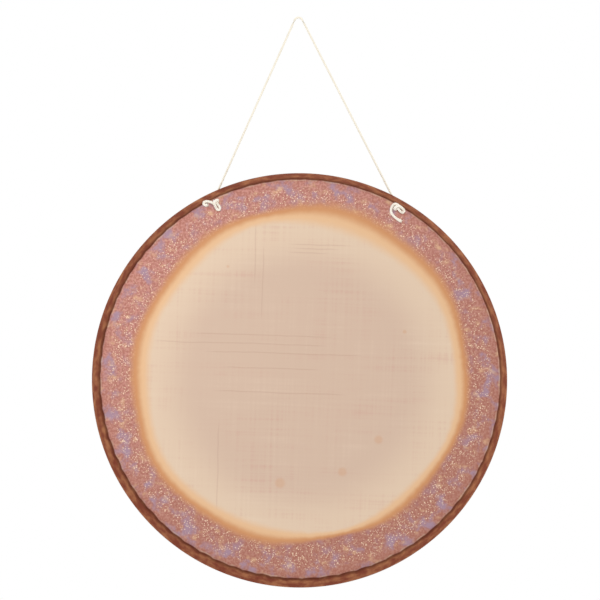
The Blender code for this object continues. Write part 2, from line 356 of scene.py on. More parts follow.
class TamGongCordSettings(bpy.types.PropertyGroup):
    """Size and colour of the hanging cord."""

    # One cream cord painted in two tones for painted light and shade: darker on the hanging cord,
    # lighter on the knots and tails
    taut_painted_darker: colour_setting("Taut cord", "Cream of the hanging cord, painted darker", (247, 240, 224))
    # The shade colours serve both painted shade between the fibres and soiled patches
    taut_shade_and_soil: colour_setting("Taut cord shade", "Cream of painted shade between its fibres and of soiled patches", (232, 222, 202))
    slack_painted_lighter: colour_setting("Slack cord", "Cream of the knots and tails, painted lighter", (254, 249, 238))
    slack_shade_and_soil: colour_setting("Slack cord shade", "Cream of painted shade between its fibres and of soiled patches", (238, 224, 202))
    twist_length: FloatProperty(
        name="Twist length",
        description="Length of one full turn of a strand",
        default=12 * MM,
        min=3 * MM,
        unit="LENGTH",
    )


class TamGongStageSettings(bpy.types.PropertyGroup):
    """Room round the gong."""

    floor_colour: colour_setting("Floor", "Plain pale floor", (240, 240, 240))
    floor_drop: FloatProperty(
        name="Floor drop",
        description="How far the floor lies below the hook",
        default=3.6,
        min=1.0,
        unit="LENGTH",
    )


# Node helpers


def add_node(tree, kind, inputs=None, **settings):
    """A new shader node with its settings, and each input either linked or set."""
    made = tree.nodes.new(kind)
    for name, value in settings.items():
        setattr(made, name, value)
    for key, value in (inputs or {}).items():
        if isinstance(value, bpy.types.NodeSocket):
            tree.links.new(value, made.inputs[key])
        else:
            made.inputs[key].default_value = value
    return made


def calculate(tree, operation, *values):
    return add_node(tree, "ShaderNodeMath", dict(enumerate(values)), operation=operation).outputs[0]


def fade(tree, value, start, end):
    """0 before start and 1 after end, smooth between; falls instead where end is the lower."""
    inputs = {"Value": value, "From Min": start, "From Max": end}
    return add_node(tree, "ShaderNodeMapRange", inputs, interpolation_type="SMOOTHSTEP").outputs[0]


def product(tree, first, *others):
    for value in others:
        first = calculate(tree, "MULTIPLY", first, value)
    return first


def mixed(tree, share, first, second):
    """One colour turning into another as the share goes from 0 to 1."""
    inputs = {0: share}
    for key, colour in ((6, first), (7, second)):
        inputs[key] = colour if isinstance(colour, bpy.types.NodeSocket) else (*colour, 1.0)
    return add_node(tree, "ShaderNodeMix", inputs, data_type="RGBA").outputs[2]


def tinted(tree, below, colour, share, strength):
    """The colour below with another laid over it, at most as strong as the strength."""
    return mixed(tree, product(tree, share, strength), below, colour)


def stretched(tree, place, scale):
    inputs = {0: place, 1: scale}
    return add_node(tree, "ShaderNodeVectorMath", inputs, operation="MULTIPLY").outputs[0]


def grain(tree, place, scale, detail=2.0):
    inputs = {"Vector": place, "Scale": scale, "Detail": detail, "Roughness": 0.55}
    return add_node(tree, "ShaderNodeTexNoise", inputs).outputs[0]


def waves(tree, angle, mean, terms):
    """A radius that wanders round the disc as a sum of waves, sizes in millimetres."""
    total = mean
    for times, size, turn in terms:
        phase = calculate(tree, "MULTIPLY_ADD", angle, float(times), -math.radians(turn))
        total = calculate(tree, "MULTIPLY_ADD", calculate(tree, "COSINE", phase), size * MM, total)
    return total


def new_material(name, roughness, metallic):
    material = bpy.data.materials.new(name)
    material.use_nodes = True
    shader = material.node_tree.nodes["Principled BSDF"]
    shader.inputs["Roughness"].default_value = roughness
    shader.inputs["Metallic"].default_value = metallic
    return material, material.node_tree, shader


def add_bump(tree, shader, height, strength, distance):
    inputs = {"Height": height, "Strength": strength, "Distance": distance}
    tree.links.new(add_node(tree, "ShaderNodeBump", inputs).outputs[0], shader.inputs["Normal"])


# Object helpers


def link_object(name, data):
    thing = bpy.data.objects.new(name, data)
    bpy.context.scene.collection.objects.link(thing)
    return thing


def applied(thing, name):
    """The object as its modifiers or bevel leave it, as a plain mesh at the origin."""
    graph = bpy.context.evaluated_depsgraph_get()
    mesh = bpy.data.meshes.new_from_object(thing.evaluated_get(graph), depsgraph=graph)
    bpy.data.objects.remove(thing)
    mesh.name = name
    return link_object(name, mesh)


# Disc


def gong_placement():
    """From the disc's own frame, centred on its face, to where it hangs."""
    lip_height = LIP_CENTRE.x * math.cos(LIP_ANGLE)
    return (
        Matrix.Translation((HANG_SHIFT, 0.0, -HANG_DROP))
        @ Matrix.Rotation(GONG_ROLL, 4, "Y")
        @ Matrix.Rotation(GONG_TILT, 4, "X")
        @ Matrix.Translation((0.0, -LIP_CENTRE.y, -lip_height))
    )


def face_depth(distance):
    inside = min(distance / SHOULDER_CENTRE_RADIUS, 1.0)
    return -CROWN * (1.0 - inside * inside)


def smooth_share(value, start, end):
    """0 at start and 1 at end, smooth between; falls instead where end is the lower."""
    share = min(max((value - start) / (end - start), 0.0), 1.0)
    return share * share * (3 - 2 * share)


def disc_section():
    """Section of the disc from the front pole round the lip to the rear pole.

    Each point is distance, depth, and finish: 0 on the face, 1 on the rim, 2 on the back.
    """
    rings = [BORDER_START * ring / CENTRE_RINGS for ring in range(CENTRE_RINGS)]
    border = SHOULDER_CENTRE_RADIUS - BORDER_START
    rings += [BORDER_START + border * ring / BORDER_RINGS for ring in range(BORDER_RINGS + 1)]
    centre = Vector((SHOULDER_CENTRE_RADIUS, SHOULDER_RADIUS))
    turns = [SHOULDER_TURN * step / SHOULDER_STEPS for step in range(1, SHOULDER_STEPS + 1)]
    spokes = [Vector((math.sin(turn), -math.cos(turn))) for turn in turns]
    outer = [centre + SHOULDER_RADIUS * spoke for spoke in spokes]
    inner = [centre + (SHOULDER_RADIUS - SHEET) * spoke for spoke in spokes]
    lip = []
    for step in range(LIP_STEPS + 1):
        turn = -RIM_SLOPE + math.pi * step / LIP_STEPS
        lip.append(LIP_CENTRE + SHEET / 2 * Vector((math.cos(turn), math.sin(turn))))
    section = [(distance, face_depth(distance), 0.0) for distance in rings]
    section += [(*point, (step + 1) / SHOULDER_STEPS) for step, point in enumerate(outer)]
    section += [(*outer[-1].lerp(lip[0], step / RIM_STEPS), 1.0) for step in range(1, RIM_STEPS)]
    section += [(*point, 1.0 + step / LIP_STEPS) for step, point in enumerate(lip)]
    section += [(*lip[-1].lerp(inner[-1], step / RIM_STEPS), 2.0) for step in range(1, RIM_STEPS)]
    section += [(*point, 2.0) for point in reversed(inner)]
    section += [(distance, face_depth(distance) + SHEET, 2.0) for distance in reversed(rings)]
    return section


def shoulder_marks():
    """Middle, half width and strength of each hammer mark along the shoulder."""
    dice = random.Random(MARK_SEED)
    widths = [dice.uniform(*MARK_WIDTHS) for mark in range(SHOULDER_MARKS)]
    stretch = math.tau / sum(widths)
    marks = []
    turn = 0.0
    for width in widths:
        half = width * stretch / 2
        nearness = 0.5 + 0.5 * math.cos(turn + half - DEEPEST_MARKS_TURN)
        strength = SHALLOWEST_MARK + (1 - SHALLOWEST_MARK) * nearness
        marks.append((turn + half, half, dice.uniform(*MARK_STRENGTHS) * strength))
        turn += 2 * half
    return marks


def mark_at(marks, turn):
    """How deep in its hammer mark a place along the shoulder is, from 0 to 1."""
    middle, half, strength = min(marks, key=lambda mark: abs(mark[0] - turn) / mark[1])
    across = min(abs(turn - middle) / half, 1.0)
    return strength * (1 - across * across)


def hammered_offset(vertex, marks, settings):
    """Shift of one vertex of the plain turned disc, outwards and backwards."""
    distance = math.hypot(vertex.x, vertex.z)
    turn = math.atan2(vertex.x, vertex.z) % math.tau
    flat = Vector((vertex.x, vertex.z, 0.0))

    shoulder = smooth_share(distance, *SCALLOPS_START)
    shoulder *= smooth_share(vertex.y, *SCALLOPS_END_DEPTH)
    scallop = settings.scallop_depth * mark_at(marks, turn) * shoulder

    to_dent = noise.voronoi(flat / DENT_SPACING)[0][0]
    ring = smooth_share(distance, *DENTS_START) * smooth_share(distance, *DENTS_END)
    dent = settings.dent_depth * ring * (DENT_LEVEL - to_dent * to_dent)
    swell = SWELL_HEIGHT * noise.noise(flat / SWELL_SIZE) * smooth_share(distance, *SWELL_END)

    rim = smooth_share(vertex.y, *RIM_WAVES_START_DEPTH)
    rim *= smooth_share(vertex.y, *RIM_WAVES_END_DEPTH)
    rim_place = Vector((*(flat.xy / RIM_WAVE_ROUND), vertex.y / RIM_WAVE_ACROSS))
    wave = RIM_WAVE_HEIGHT * rim * noise.noise(rim_place)
    drawn_in = LIP_DRAWN_IN * smooth_share(vertex.y, *LIP_DRAWN_IN_DEPTH)

    return wave - scallop - drawn_in, SCALLOP_BACKWARDS * scallop + dent + swell


def disc_material(settings):
    """Brushed champagne middle, heat tints, speckled rose ring with painted light and shade, a
    painted highlight on the shoulder, brown rim with painted shade, and back.
    """
    material, tree, shader = new_material("tinted bronze", 0.4, 1.0)
    shader.inputs["Specular Tint"].default_value = SPECULAR_TINT
    place = add_node(tree, "ShaderNodeTexCoord").outputs["Object"]
    middle = gong_placement().translation
    mapping = {"Vector": place, "Location": middle, "Rotation": (GONG_TILT, GONG_ROLL, 0.0)}
    face = add_node(tree, "ShaderNodeMapping", mapping, vector_type="TEXTURE").outputs[0]
    flat = stretched(tree, face, (1.0, 0.0, 1.0))
    radius = add_node(tree, "ShaderNodeVectorMath", {0: flat}, operation="LENGTH").outputs["Value"]
    parts = add_node(tree, "ShaderNodeSeparateXYZ", {0: face})
    right, depth, up = (parts.outputs[axis] for axis in "XYZ")
    angle = calculate(tree, "ARCTAN2", right, up)
    finish = add_node(tree, "ShaderNodeAttribute", attribute_name="finish").outputs["Fac"]
    blotches = grain(tree, face, 55.0, 4.0)
    brush = brush_lines(tree, flat)

    colour = middle_finish(tree, settings, brush, flat, right, up, radius)
    heat = heat_share(tree, flat, radius, angle)
    colour = mixed(tree, fade(tree, heat, *AMBER_HEAT), colour, settings.amber_colour)
    colour = mixed(tree, fade(tree, heat, *COPPER_HEAT), colour, settings.copper_colour)
    ring = ring_finish(tree, settings, flat, radius, angle)
    colour = mixed(tree, fade(tree, heat, *RING_HEAT), colour, ring)
    shoulder = fade(tree, radius, *SHOULDER_TINT)
    colour = tinted(tree, colour, settings.rim_colour, shoulder, 0.25)
    # Painted highlight: a broken straw line where the face turns over into the shoulder
    glint = product(tree, fade(tree, finish, *GLINT_FINISH), fade(tree, blotches, 0.42, 0.62))
    colour = tinted(tree, colour, settings.straw_colour, glint, 0.32)
    rim = rim_finish(tree, settings, blotches, depth, finish)
    colour = mixed(tree, fade(tree, finish, *RIM_FINISH), colour, rim)
    back = back_finish(tree, settings, face, radius)
    colour = mixed(tree, fade(tree, finish, *BACK_FINISH), colour, back)
    tree.links.new(colour, shader.inputs["Base Color"])

    pits = grain(tree, face, 420.0, 2.0)
    add_bump(tree, shader, calculate(tree, "MULTIPLY_ADD", brush, 0.5, pits), 0.35, 0.15 * MM)
    rough = {"Value": calculate(tree, "ADD", pits, fade(tree, finish, *ROUGH_FINISH))}
    rough.update({"From Min": 0.0, "From Max": 2.0, "To Min": 0.34, "To Max": 0.55})
    rough = add_node(tree, "ShaderNodeMapRange", rough).outputs[0]
    tree.links.new(rough, shader.inputs["Roughness"])
    return material


def heat_share(tree, flat, radius, angle):
    """0 on the straw edge and 1 on the copper edge, both of which wander round the disc."""
    inner = waves(tree, angle, STRAW_EDGE, STRAW_WAVES)
    outer = waves(tree, angle, COPPER_EDGE, COPPER_WAVES)
    ragged = calculate(tree, "MULTIPLY_ADD", grain(tree, flat, 70.0, 3.0), 5 * MM, -2.5 * MM)
    from_straw = calculate(tree, "ADD", calculate(tree, "SUBTRACT", radius, inner), ragged)
    return calculate(tree, "DIVIDE", from_straw, calculate(tree, "SUBTRACT", outer, inner))


def brush_lines(tree, flat):
    """Fine level and upright lines left by the brush, added together."""
    level = grain(tree, stretched(tree, flat, (5.0, 1.0, 190.0)), 1.0, 3.0)
    upright = grain(tree, stretched(tree, flat, (190.0, 1.0, 5.0)), 1.0, 3.0)
    return calculate(tree, "ADD", level, upright)


def middle_finish(tree, settings, brush, flat, right, up, radius):
    """The brushed middle with its scratches and thumb marks."""
    edge = fade(tree, radius, *BRUSHED_EDGE)
    colour = mixed(tree, edge, settings.centre_colour, settings.straw_colour)
    broad = grain(tree, stretched(tree, flat, (6.0, 1.0, 40.0)), 1.0, 3.0)
    streaks = calculate(tree, "ADD", brush, broad)
    worn = fade(tree, grain(tree, flat, 9.0), 0.30, 0.70)
    lighter = product(tree, fade(tree, streaks, 1.50, 1.95), worn)
    colour = tinted(tree, colour, POLISHED_TONE, lighter, 0.16)
    darker = product(tree, fade(tree, streaks, 1.50, 1.10), worn)
    colour = tinted(tree, colour, settings.rose_colour, darker, 0.32)

    wander = calculate(tree, "MULTIPLY_ADD", grain(tree, flat, 14.0), 6 * MM, -3 * MM)
    scratches = 0.0
    lines = [(up, right, line) for line in LEVEL_SCRATCHES]
    lines += [(right, up, line) for line in UPRIGHT_SCRATCHES]
    for across, along, (place, start, end) in lines:
        off = calculate(tree, "SUBTRACT", calculate(tree, "ADD", across, wander), place)
        line = product(
            tree,
            fade(tree, calculate(tree, "ABSOLUTE", off), *SCRATCH_WIDTH),
            fade(tree, along, start, start + SCRATCH_TAPER),
            fade(tree, along, end, end - SCRATCH_TAPER),
        )
        scratches = calculate(tree, "MAXIMUM", line, scratches)
    colour = tinted(tree, colour, settings.mottle_colour, scratches, 0.17)

    marks = 0.0
    for to_right, upwards, size in THUMB_MARKS:
        inputs = {0: flat, 1: (to_right, 0.0, upwards)}
        away = add_node(tree, "ShaderNodeVectorMath", inputs, operation="DISTANCE").outputs["Value"]
        away = calculate(tree, "ADD", away, wander)
        marks = calculate(tree, "MAXIMUM", fade(tree, away, size, 0.4 * size), marks)
    return tinted(tree, colour, settings.copper_colour, marks, 0.28)


def ring_finish(tree, settings, flat, radius, angle):
    """The rose ring, painted lighter towards one side and darker away from it, with its cool and
    golden patches and pale specks.
    """
    # Painted light and shade: the rose is lightest towards LIT_SIDE and darkens to SHADED_ROSE_TONE
    # on the far side
    lit = calculate(tree, "COSINE", calculate(tree, "SUBTRACT", angle, LIT_SIDE))
    colour = mixed(tree, fade(tree, lit, -1.0, 1.0), SHADED_ROSE_TONE, settings.rose_colour)
    mottle = fade(tree, grain(tree, flat, 260.0, 3.0), 0.60, 0.42)
    colour = tinted(tree, colour, settings.mottle_colour, mottle, 0.6)
    cool = fade(tree, grain(tree, flat, 36.0, 4.0), 0.48, 0.66)
    outside = calculate(tree, "MULTIPLY_ADD", fade(tree, radius, *COOL_PATCHES), 0.5, 0.35)
    colour = tinted(tree, colour, settings.violet_colour, cool, outside)
    gold = grain(tree, stretched(tree, flat, (-1.0, 1.0, 1.3)), 52.0, 3.0)
    colour = tinted(tree, colour, settings.amber_colour, fade(tree, gold, 0.54, 0.74), 0.6)
    specks = calculate(
        tree,
        "MAXIMUM",
        speck_spread(tree, flat, 170.0, 0.24, 0.10),
        speck_spread(tree, flat, 330.0, 0.34, 0.16),
    )
    specks = product(
        tree,
        specks,
        fade(tree, radius, *SPECKS_START),
        fade(tree, radius, *SPECKS_END),
        fade(tree, grain(tree, flat, 70.0, 3.0), 0.34, 0.56),
    )
    return tinted(tree, colour, settings.speckle_colour, specks, 0.9)


def speck_spread(tree, flat, scale, edge, core):
    cells = add_node(tree, "ShaderNodeTexVoronoi", {"Vector": flat, "Scale": scale})
    return fade(tree, cells.outputs["Distance"], edge, core)


def rim_finish(tree, settings, blotches, depth, finish):
    """Blotched brown, with painted shade under the shoulder and on the lip."""
    share = fade(tree, blotches, 0.35, 0.75)
    colour = mixed(tree, share, settings.rim_colour, settings.copper_colour)
    colour = mixed(tree, 0.55, settings.rim_colour, colour)
    # Painted shade just behind the shoulder, then a painted dark edge along the lip
    painted_shade_under_shoulder = fade(tree, depth, *SHADE_UNDER_SHOULDER_DEPTH)
    colour = tinted(tree, colour, settings.shadow_colour, painted_shade_under_shoulder, 0.6)
    return tinted(tree, colour, settings.shadow_colour, fade(tree, finish, *LIP_PAINTED_SHADE_SPAN), 0.5)


def back_finish(tree, settings, face, radius):
    """Soft stains in the middle of the back, inside a plain brown border."""
    stains = fade(tree, grain(tree, face, 14.0, 5.0), 0.35, 0.75)
    colour = mixed(tree, stains, settings.back_colour, settings.copper_colour)
    colour = mixed(tree, 0.45, settings.back_colour, colour)
    return mixed(tree, fade(tree, radius, *BACK_BORDER), settings.rim_colour, colour)


def build_gong_disc(settings):
    """Turn the section, hammer it, hang it in place and drill the cord holes."""
    placement = gong_placement()
    marks = shoulder_marks()
    form = bmesh.new()
    layer = form.verts.layers.float.new("finish")
    corners = []
    for distance, depth, finish in disc_section():
        corner = form.verts.new((distance, depth, 0.0))
        corner[layer] = finish
        corners.append(corner)
    edges = [form.edges.new(pair) for pair in zip(corners, corners[1:])]
    bmesh.ops.spin(
        form,
        geom=corners + edges,
        cent=(0.0, 0.0, 0.0),
        axis=(0.0, 1.0, 0.0),
        angle=math.tau,
        steps=DISC_STEPS,
        use_merge=True,
    )
    bmesh.ops.remove_doubles(form, verts=form.verts, dist=0.01 * MM)
    for vertex in form.verts:
        outwards, backwards = hammered_offset(vertex.co, marks, settings)
        spoke = Vector((vertex.co.x, 0.0, vertex.co.z))
        if spoke.length > 0.0:
            vertex.co += spoke.normalized() * outwards
        vertex.co.y += backwards
    bmesh.ops.transform(form, matrix=placement, verts=form.verts)
    bmesh.ops.recalc_face_normals(form, faces=form.faces)
    mesh = bpy.data.meshes.new("gong_disc")
    form.to_mesh(mesh)
    form.free()
    mesh.shade_smooth()
    disc = link_object("gong_disc", mesh)
    cutters = [build_drill(side, placement) for side in (-1, 1)]
    for cutter in cutters:
        cut = disc.modifiers.new(cutter.name, "BOOLEAN")
        cut.operation = "DIFFERENCE"
        cut.solver = "EXACT"
        cut.object = cutter
    disc = applied(disc, "gong_disc")
    for cutter in cutters:
        bpy.data.objects.remove(cutter)
    disc.data.materials.clear()
    disc.data.materials.append(disc_material(settings))
    return disc


def build_drill(side, placement):
    mesh = bpy.data.meshes.new("drill")
    form = bmesh.new()
    place = placement @ Matrix.Translation(hole_centre(side)) @ Matrix.Rotation(math.pi / 2, 4, "X")
    bmesh.ops.create_cone(
        form,
        cap_ends=True,
        segments=32,
        radius1=HOLE_DIAMETER / 2,
        radius2=HOLE_DIAMETER / 2,
        depth=6 * SHEET,
        matrix=place,
    )
    form.to_mesh(mesh)
    form.free()
    return link_object("drill", mesh)


def hole_centre(side):
    return Vector((
        side * HOLE_FROM_CENTRE * math.sin(HOLE_ANGLE),
        face_depth(HOLE_FROM_CENTRE),
        HOLE_FROM_CENTRE * math.cos(HOLE_ANGLE),
    ))


# Cord


def smooth_route(points, step):
    """Even points along a smooth curve through the route's own points."""
    points = [Vector(point) for point in points]
    padded = [2 * points[0] - points[1]] + points + [2 * points[-1] - points[-2]]
    fine = []
    for before, start, end, after in zip(padded, padded[1:], padded[2:], padded[3:]):
        for part in range(CURVE_PARTS):
            t = part / CURVE_PARTS
            fine.append(0.5 * (
                2 * start
                + (end - before) * t
                + (2 * before - 5 * start + 4 * end - after) * t ** 2
                + (3 * start - before - 3 * end + after) * t ** 3
            ))
    fine.append(points[-1])
    length = route_length(fine)
    spaces = max(2, round(length / step))
    even = [fine[0]]
    walked = 0.0
    for start, end in zip(fine, fine[1:]):
        stretch = (end - start).length
        while len(even) < spaces and walked + stretch >= length * len(even) / spaces:
            even.append(start.lerp(end, (length * len(even) / spaces - walked) / stretch))
        walked += stretch
    even.append(fine[-1])
    return even


def route_length(points):
    return sum((end - start).length for start, end in zip(points, points[1:]))


def stretch_between(start, end, step):
    spaces = max(1, round((end - start).length / step))
    return [start.lerp(end, part / spaces) for part in range(spaces + 1)]


def tangent_from(target, centre, radius, side):
    """Where a line from the target touches the bend's circle, in the plane of the bend."""
    reach = centre - target
    lean = math.atan2(reach.x, reach.z)
    opening = math.asin(radius / math.hypot(reach.x, reach.z))
    heading = lean + side * opening
    run = math.sqrt(reach.x ** 2 + reach.z ** 2 - radius ** 2)
    return target + run * Vector((math.sin(heading), 0.0, math.cos(heading)))


def lip_outward(side):
    """From the disc's centre to where the cord crosses the lip, in the disc's own frame."""
    return Vector((side * math.sin(LIP_ANGLE), 0.0, math.cos(LIP_ANGLE)))


def lip_point(side, placement):
    return placement @ (lip_outward(side) * LIP_CENTRE.x + Vector((0.0, LIP_CENTRE.y, 0.0)))


def leg_ends(side, placement):
    """Foot of a leg behind the lip, its top on the swing axis, and where the bend starts."""
    foot = lip_point(side, placement) + Vector((0.0, LIP_TO_CORD, 0.0))
    flat_foot = Vector((foot.x, 0.0, foot.z))
    touch = tangent_from(flat_foot, BEND_CENTRE, BEND_RADIUS, side)
    top = touch.lerp(flat_foot, (-SWING_AXIS_DROP - touch.z) / (flat_foot.z - touch.z))
    return foot, top, touch


def leg_join(foot, top):
    """Where the hanging cord's leg meets the tied end."""
    return foot + (top - foot).normalized() * CORD_JOIN


def hanging_route(placement):
    """From just above the left lip, up over the hook and down to just above the right lip."""
    left_foot, left_top, left_touch = leg_ends(-1, placement)
    right_foot, right_top, right_touch = leg_ends(1, placement)
    start = math.atan2(left_touch.z - BEND_CENTRE.z, left_touch.x)
    stop = math.atan2(right_touch.z - BEND_CENTRE.z, right_touch.x)
    arc = []
    for step in range(BEND_STEPS + 1):
        turn = start + (stop - start) * step / BEND_STEPS
        arc.append(BEND_CENTRE + BEND_RADIUS * Vector((math.cos(turn), 0.0, math.sin(turn))))
    up = stretch_between(leg_join(left_foot, left_top), left_top, STRAND_STEP)
    down = stretch_between(right_top, leg_join(right_foot, right_top), STRAND_STEP)
    return up + arc + down


def tied_route(side, loop_direction, tail, placement):
    """From just above the lip round it, forward inside the rim, out of the hole, into the knot."""
    foot, top = leg_ends(side, placement)[:2]
    lip = lip_point(side, placement)
    hole = hole_centre(side)
    middle = hole + Vector((0.0, SHEET / 2, 0.0))
    under = lip_outward(side) * (LIP_CENTRE.x - LIP_TO_CORD) + Vector((0.0, LIP_CENTRE.y, 0.0))
    placed = [foot.lerp(leg_join(foot, top), share) for share in (1.0, 0.7, 0.4)]
    backwards = Vector((0.0, 1.0, 0.0))
    inwards = (placement @ under - lip).normalized()
    for degrees in (0, 30, 60, 90):
        turn = math.radians(degrees)
        placed.append(lip + LIP_TO_CORD * (math.cos(turn) * backwards + math.sin(turn) * inwards))
    heading = (middle - under).normalized()
    run_end = middle - heading * KNOT_START
    local = [under.lerp(run_end, share) for share in (0.25, 0.5, 0.75, 1.0)]
    local += [middle - heading * (KNOT_START - KNOT_CORD_DIAMETER), middle]
    local += knot_points(side, hole, loop_direction, tail)
    placed += [placement @ point for point in local]
    return smooth_route(placed, STRAND_STEP)


def knot_points(side, hole, loop_direction, tail):
    """The knot and its tail in the disc's own frame, following the crown of the face."""
    along = Vector((math.cos(loop_direction), math.sin(loop_direction)))
    across = side * Vector((-along.y, along.x))
    steps = []
    for ahead, aside, off in KNOT_CORE:
        flat = KNOT_PITCH * (ahead * along + aside * across)
        steps.append((flat.x, flat.y, off * KNOT_PITCH))
    steps += [tuple(value * MM for value in point) for point in tail]
    points = []
    for right, up, off in steps:
        place = hole + Vector((right, 0.0, up))
        place.y = face_depth(math.hypot(place.x, place.z)) - off
        points.append(place)
    return points


def tied_radii(points):
    """Taut to behind the hole, plumper where the cord is slack, swelling at the frayed tip."""
    radii = []
    length = route_length(points)
    walked = 0.0
    for index, point in enumerate(points):
        if index:
            walked += (point - points[index - 1]).length
        slack = smooth_share(walked, *SLACK_START)
        radius = (CORD_DIAMETER + (SLACK_CORD_DIAMETER - CORD_DIAMETER) * slack) / 2
        radii.append(radius * (1 + TIP_SWELLING * smooth_share(length - walked, *TIP_START)))
    return radii


def strand_profile():
    """Section of three strands laid together, as a closed curve of unit radius."""
    curve = bpy.data.curves.new("strands", "CURVE")
    curve.dimensions = "2D"
    spline = curve.splines.new("POLY")
    spline.points.add(STRAND_CORNERS - 1)
    for index, point in enumerate(spline.points):
        turn = math.tau * index / STRAND_CORNERS
        reach = STRAND_MEAN + STRAND_RELIEF * math.cos(3 * turn)
        point.co = (reach * math.cos(turn), reach * math.sin(turn), 0.0, 1.0)
    spline.use_cyclic_u = True
    return link_object("strands", curve)


def twisted_cord(name, points, radii, settings):
    """Three twisted strands along the route, as one closed tube."""
    profile = strand_profile()
    curve = bpy.data.curves.new(name, "CURVE")
    curve.dimensions = "3D"
    curve.bevel_mode = "OBJECT"
    curve.bevel_object = profile
    curve.use_fill_caps = True
    spline = curve.splines.new("POLY")
    spline.points.add(len(points) - 1)
    walked = 0.0
    for index, (control, point, radius) in enumerate(zip(spline.points, points, radii)):
        if index:
            walked += (point - points[index - 1]).length
        control.co = (*point, 1.0)
        control.radius = radius
        control.tilt = math.tau * walked / settings.twist_length
    cord = applied(link_object(name, curve), name)
    bpy.data.objects.remove(profile)
    form = bmesh.new()
    form.from_mesh(cord.data)
    bmesh.ops.remove_doubles(form, verts=form.verts, dist=0.005 * MM)
    bmesh.ops.holes_fill(form, edges=[edge for edge in form.edges if edge.is_boundary])
    bmesh.ops.recalc_face_normals(form, faces=form.faces)
    form.to_mesh(cord.data)
    form.free()
    cord.data.shade_smooth()
    return cord


def fray(cord, tip, heading, seed):
    """Short loose fibres that spread from the cut end of a tail."""
    dice = random.Random(seed)
    curve = bpy.data.curves.new("fibres", "CURVE")
    curve.dimensions = "3D"
    curve.bevel_depth = FIBRE_RADIUS
    curve.bevel_resolution = 1
    curve.use_fill_caps = True
    side = heading.orthogonal().normalized()
    for fibre in range(FIBRES):
        turn = Matrix.Rotation(dice.uniform(0.0, math.tau), 3, heading)
        out = turn @ side
        start = tip + out * dice.uniform(*FIBRE_SPREAD) - heading * FIBRE_ROOT
        reach = dice.uniform(*FIBRE_LENGTHS)
        lean = dice.uniform(*FIBRE_LEANS)
        spline = curve.splines.new("POLY")
        spline.points.add(FIBRE_POINTS - 1)
        for step, control in enumerate(spline.points):
            share = step / (FIBRE_POINTS - 1)
            place = start + heading * reach * share + out * reach * lean * share * share
            control.co = (*place, 1.0)
    fibres = applied(link_object("fibres", curve), "fibres")
    form = bmesh.new()
    form.from_mesh(cord.data)
    form.from_mesh(fibres.data)
    form.to_mesh(cord.data)
    form.free()
    bpy.data.objects.remove(fibres)
    cord.data.shade_smooth()


def cord_material(name, main_colour, shade_and_soil_colour):
    """Matte cream fibre with painted shade in its creases and darker soiled patches."""
    material, tree, shader = new_material(name, 0.85, 0.0)
    place = add_node(tree, "ShaderNodeTexCoord").outputs["Object"]
    fibres = grain(tree, place, 900.0, 3.0)
    soil = product(tree, fade(tree, grain(tree, place, 60.0, 2.0), 0.45, 0.7), 0.25)
    # Painted shade between the fibres, plus darker soiled patches
    shade = calculate(tree, "MULTIPLY_ADD", fade(tree, fibres, 0.62, 0.38), 0.45, soil)
    tree.links.new(mixed(tree, shade, main_colour, shade_and_soil_colour), shader.inputs["Base Color"])
    add_bump(tree, shader, fibres, 0.5, 0.3 * MM)
    shader.inputs["Sheen Weight"].default_value = 0.2
    return material


# Operators


class TAMGONG_OT_disc(bpy.types.Operator):
    """Build the hammered bronze disc in place of its solid"""

    bl_idname = "tam_gong.build_disc"
    bl_label = "Build Gong Disc"

    def execute(self, context):
        disc = build_gong_disc(context.scene.tam_gong_disc)
        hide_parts("gong_plate")
        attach(disc, "gong")
        return {"FINISHED"}


class TAMGONG_OT_cord(bpy.types.Operator):
    """Build the hanging cord and its two tied ends in place of their solids"""

    bl_idname = "tam_gong.build_cord"
    bl_label = "Build Cord"

    def execute(self, context):
        settings = context.scene.tam_gong_cord
        placement = gong_placement()
        # The same cord as two materials, painted darker and lighter for painted light and shade
        taut = cord_material("taut cord", settings.taut_painted_darker, settings.taut_shade_and_soil)
        slack = cord_material("slack cord", settings.slack_painted_lighter, settings.slack_shade_and_soil)
        route = hanging_route(placement)
        radii = [CORD_DIAMETER / 2] * len(route)
        cord = twisted_cord("hanging_cord", route, radii, settings)
        cord.data.materials.clear()
        cord.data.materials.append(taut)
        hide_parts("cord_bend", "left_cord_leg", "right_cord_leg")
        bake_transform(cord)
        ends = (
            ("left", -1, LEFT_LOOP_DIRECTION, LEFT_TAIL),
            ("right", 1, RIGHT_LOOP_DIRECTION, RIGHT_TAIL),
        )
        for seed, (name, side, loop_direction, tail) in enumerate(ends):
            route = tied_route(side, loop_direction, tail, placement)
            end = twisted_cord(f"{name}_tied_end", route, tied_radii(route), settings)
            fray(end, route[-1], (route[-1] - route[-3]).normalized(), seed)
            end.data.materials.clear()
            end.data.materials.append(slack)
            end.data.materials.append(taut)
            for face in end.data.polygons:
                if face.center.y > DARKER_CORD_BEHIND:
                    face.material_index = 1
            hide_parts(f"{name}_cord_run", f"{name}_knot")
            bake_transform(end)
        return {"FINISHED"}


class TAMGONG_OT_stage(bpy.types.Operator):
    """Set up the floor, the soft light and the camera"""

    bl_idname = "tam_gong.build_stage"
    bl_label = "Build Stage"

    def execute(self, context):
        settings = context.scene.tam_gong_stage
        context.scene.view_settings.view_transform = "Standard"
        build_floor(settings)
        build_world(context.scene)
        build_lamps()
        build_camera(context.scene)
        return {"FINISHED"}


